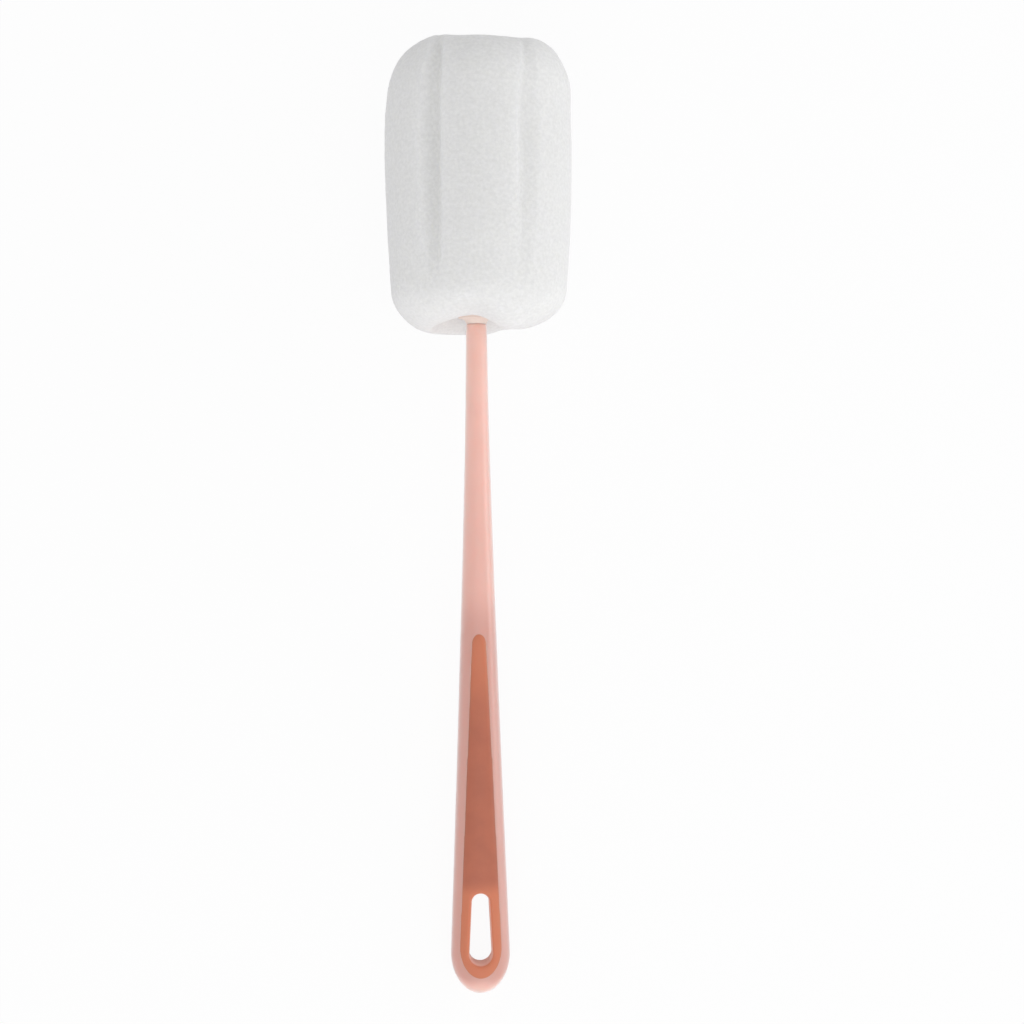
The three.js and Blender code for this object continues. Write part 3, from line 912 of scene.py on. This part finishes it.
# painted light: a paler colour mixed in on the slot's wall
tint_where(terracotta, terracotta_shader, "painted_light_slot_wall", (0.86, 0.465, 0.375))
set_inputs(terracotta_shader, {
    "Sheen Weight": 0.6, "Sheen Tint": (1.0, 0.72, 0.6, 1), "Subsurface Weight": 0.3,
    "Subsurface Radius": (1.0, 0.4, 0.25), "Subsurface Scale": 1.5 * mm})
pale, _ = moulded_finish(
    "pale_pink_plastic", dark=(0.85, 0.69, 0.61), light=(0.88, 0.73, 0.65), blotch=6,
    gloss=(0.38, 0.46), grain=0.35, grain_strength=0.1)
for piece, finish in ((handle, pink), (grip, terracotta), (core, pale)):
    dress(piece, finish)
print("plastic finishes:", pink.name, terracotta.name, pale.name)

# %% [markdown]
# The foam is off-white and quite matt. Its pores are what the eye reads at this distance: small darker
# pits about a millimetre apart, over a slow mottling. Strong subsurface light softens the grooves as
# light really does inside foam.

# %% Foam finish
white_foam, nodes, links, foam_shader, vector = new_finish("white_foam")
mottle = noise_in_mm(nodes, links, vector, 1.1, 4)
foam_colour = two_tones(nodes, links, mottle, dark=(0.765, 0.765, 0.755), light=(0.84, 0.84, 0.83))
links.new(foam_colour, foam_shader.inputs["Base Color"])
set_inputs(foam_shader, {
    "Roughness": 0.95, "Specular IOR Level": 0.15, "Subsurface Weight": 1.0,
    "Subsurface Radius": (1.0, 1.0, 0.95), "Subsurface Scale": 14 * mm})
pits = noise_in_mm(nodes, links, vector, 0.7, 3)
add_bump(nodes, links, foam_shader, pits, strength=0.5, distance=0.3 * mm)
dress(foam, white_foam)
print("foam finish:", white_foam.name)

# %% [markdown]
# The brush lies on a plain white table. The floor is partly a diffuse white, which keeps a faint soft
# shadow, and for the camera and for reflections mostly a plain white glow, so that it reads as white
# without more light on the brush.

# %% Floor
floor_size, floor_drop = 3, 0.2 * mm
floor_glow = 0.93


def seen_as_white(nodes, links):
    """One for what the camera sees straight, in a reflection or through a clear piece."""
    path = nodes.new("ShaderNodeLightPath")
    total = path.outputs["Is Camera Ray"]
    for ray in ("Is Glossy Ray", "Is Transmission Ray"):
        either = nodes.new("ShaderNodeMath")
        either.operation = "MAXIMUM"
        links.new(total, either.inputs[0])
        links.new(path.outputs[ray], either.inputs[1])
        total = either.outputs["Value"]
    return total


bpy.ops.object.select_all(action="DESELECT")
bpy.ops.mesh.primitive_plane_add(size=floor_size, location=(0, 0, -floor_drop))
floor = bpy.context.object
floor.name = "floor"
white_floor = bpy.data.materials.new("white_floor")
white_floor.use_nodes = True
nodes, links = white_floor.node_tree.nodes, white_floor.node_tree.links
diffuse = nodes["Principled BSDF"]
set_inputs(diffuse, {
    "Base Color": (0.9, 0.9, 0.9, 1), "Roughness": 0.9, "Specular IOR Level": 0.1})
glow = nodes.new("ShaderNodeEmission")
seen = nodes.new("ShaderNodeMath")
seen.operation = "MULTIPLY"
seen.inputs[1].default_value = floor_glow
mix = nodes.new("ShaderNodeMixShader")
links.new(seen_as_white(nodes, links), seen.inputs[0])
links.new(seen.outputs["Value"], mix.inputs["Fac"])
links.new(diffuse.outputs["BSDF"], mix.inputs[1])
links.new(glow.outputs["Emission"], mix.inputs[2])
links.new(mix.outputs["Shader"], nodes["Material Output"].inputs["Surface"])
dress(floor, white_floor)
print("floor width in metres:", floor_size)

# %% [markdown]
# The world is a soft dome that is brighter towards the foot of the picture, so the butt of the brush
# and the foot of the foam are the lighter ends. The camera and reflections see a plain white
# backdrop in its place.

# %% World
dome_level, dome_lean = 0.752, 0.3
dome_heading = (-0.05 * side - 0.95 * along).normalized()
world = bpy.data.worlds.new("white_dome")
bpy.context.scene.world = world
world.use_nodes = True
nodes, links = world.node_tree.nodes, world.node_tree.links
dome = nodes["Background"]
dome.inputs["Color"].default_value = (0.985, 0.985, 1.0, 1)
heading = nodes.new("ShaderNodeTexCoord")
lean = nodes.new("ShaderNodeVectorMath")
lean.operation = "DOT_PRODUCT"
lean.inputs[1].default_value = dome_heading
level = nodes.new("ShaderNodeMapRange")
set_inputs(level, {
    "From Min": -1, "To Min": dome_level * (1 - dome_lean), "To Max": dome_level * (1 + dome_lean)})
links.new(heading.outputs["Generated"], lean.inputs[0])
links.new(lean.outputs["Value"], level.inputs["Value"])
links.new(level.outputs["Result"], dome.inputs["Strength"])
backdrop = nodes.new("ShaderNodeBackground")
backdrop.inputs["Color"].default_value = (1, 1, 1, 1)
mix = nodes.new("ShaderNodeMixShader")
links.new(seen_as_white(nodes, links), mix.inputs["Fac"])
links.new(dome.outputs["Background"], mix.inputs[1])
links.new(backdrop.outputs["Background"], mix.inputs[2])
links.new(mix.outputs["Shader"], nodes["World Output"].inputs["Surface"])
print("dome level:", dome_level)

# %% [markdown]
# The light comes softly from the right and from below the picture, so the left sides are the darker
# ones and the top of the foam is a little darker than its foot. Large area lamps give such soft light:
# a tall key on the right, a weak low one beside the handle, and a fill in front and below.

# %% Lamps
brush_middle = lay_down @ Vector((0, 0.16, 0))


def area_lamp(name, right, up, out, size, power):
    """A lamp of a width and a length along the brush, placed in metres from its middle, facing it."""
    data = bpy.data.lights.new(name, "AREA")
    data.shape = "RECTANGLE"
    data.size, data.size_y = size
    data.energy = power
    lamp = bpy.data.objects.new(name, data)
    bpy.context.collection.objects.link(lamp)
    away = (right * side + up * along + out * front).normalized()
    across = along.cross(away).normalized()
    turned = Matrix((across, away.cross(across), away)).transposed()
    place = brush_middle + right * side + up * along + out * front
    lamp.matrix_world = Matrix.Translation(place) @ turned.to_4x4()
    print(name, "lamp in watts:", power)


area_lamp("key", right=0.86, up=0.2, out=0.28, size=(0.3, 1.2), power=1.65)
area_lamp("low_key", right=0.5, up=-0.12, out=0.06, size=(0.1, 0.7), power=0.04)
area_lamp("fill", right=0.08, up=-0.45, out=0.8, size=(0.8, 0.8), power=1.5)

# %% [markdown]
# The camera looks straight at the front of the brush, square to its length, with the brush a little
# left of the middle and leaning slightly. Its place is worked out from how the brush fills the frame.

# %% Camera
view_distance = 700 * mm
view_height = 157.6 * mm
view_right = 11.27 * mm
view_width = 335.9 * mm
sensor_width = 36
view_roll = Matrix.Rotation(math.radians(-0.37), 3, "Z")
view_turn = Matrix.Rotation(math.radians(-3), 3, "Y")
camera_data = bpy.data.cameras.new("camera")
camera_data.sensor_width = sensor_width
camera_data.lens = sensor_width * view_distance / view_width
camera = bpy.data.objects.new("camera", camera_data)
bpy.context.collection.objects.link(camera)
stand = lay_down @ (view_turn @ Vector((view_right, view_height, view_distance)))
turned = Matrix((side, along, front)).transposed() @ view_turn @ view_roll
camera.matrix_world = Matrix.Translation(stand) @ turned.to_4x4()
bpy.context.scene.camera = camera
bpy.context.scene.view_settings.view_transform = "Standard"
print("lens in mm:", round(camera_data.lens, 1))
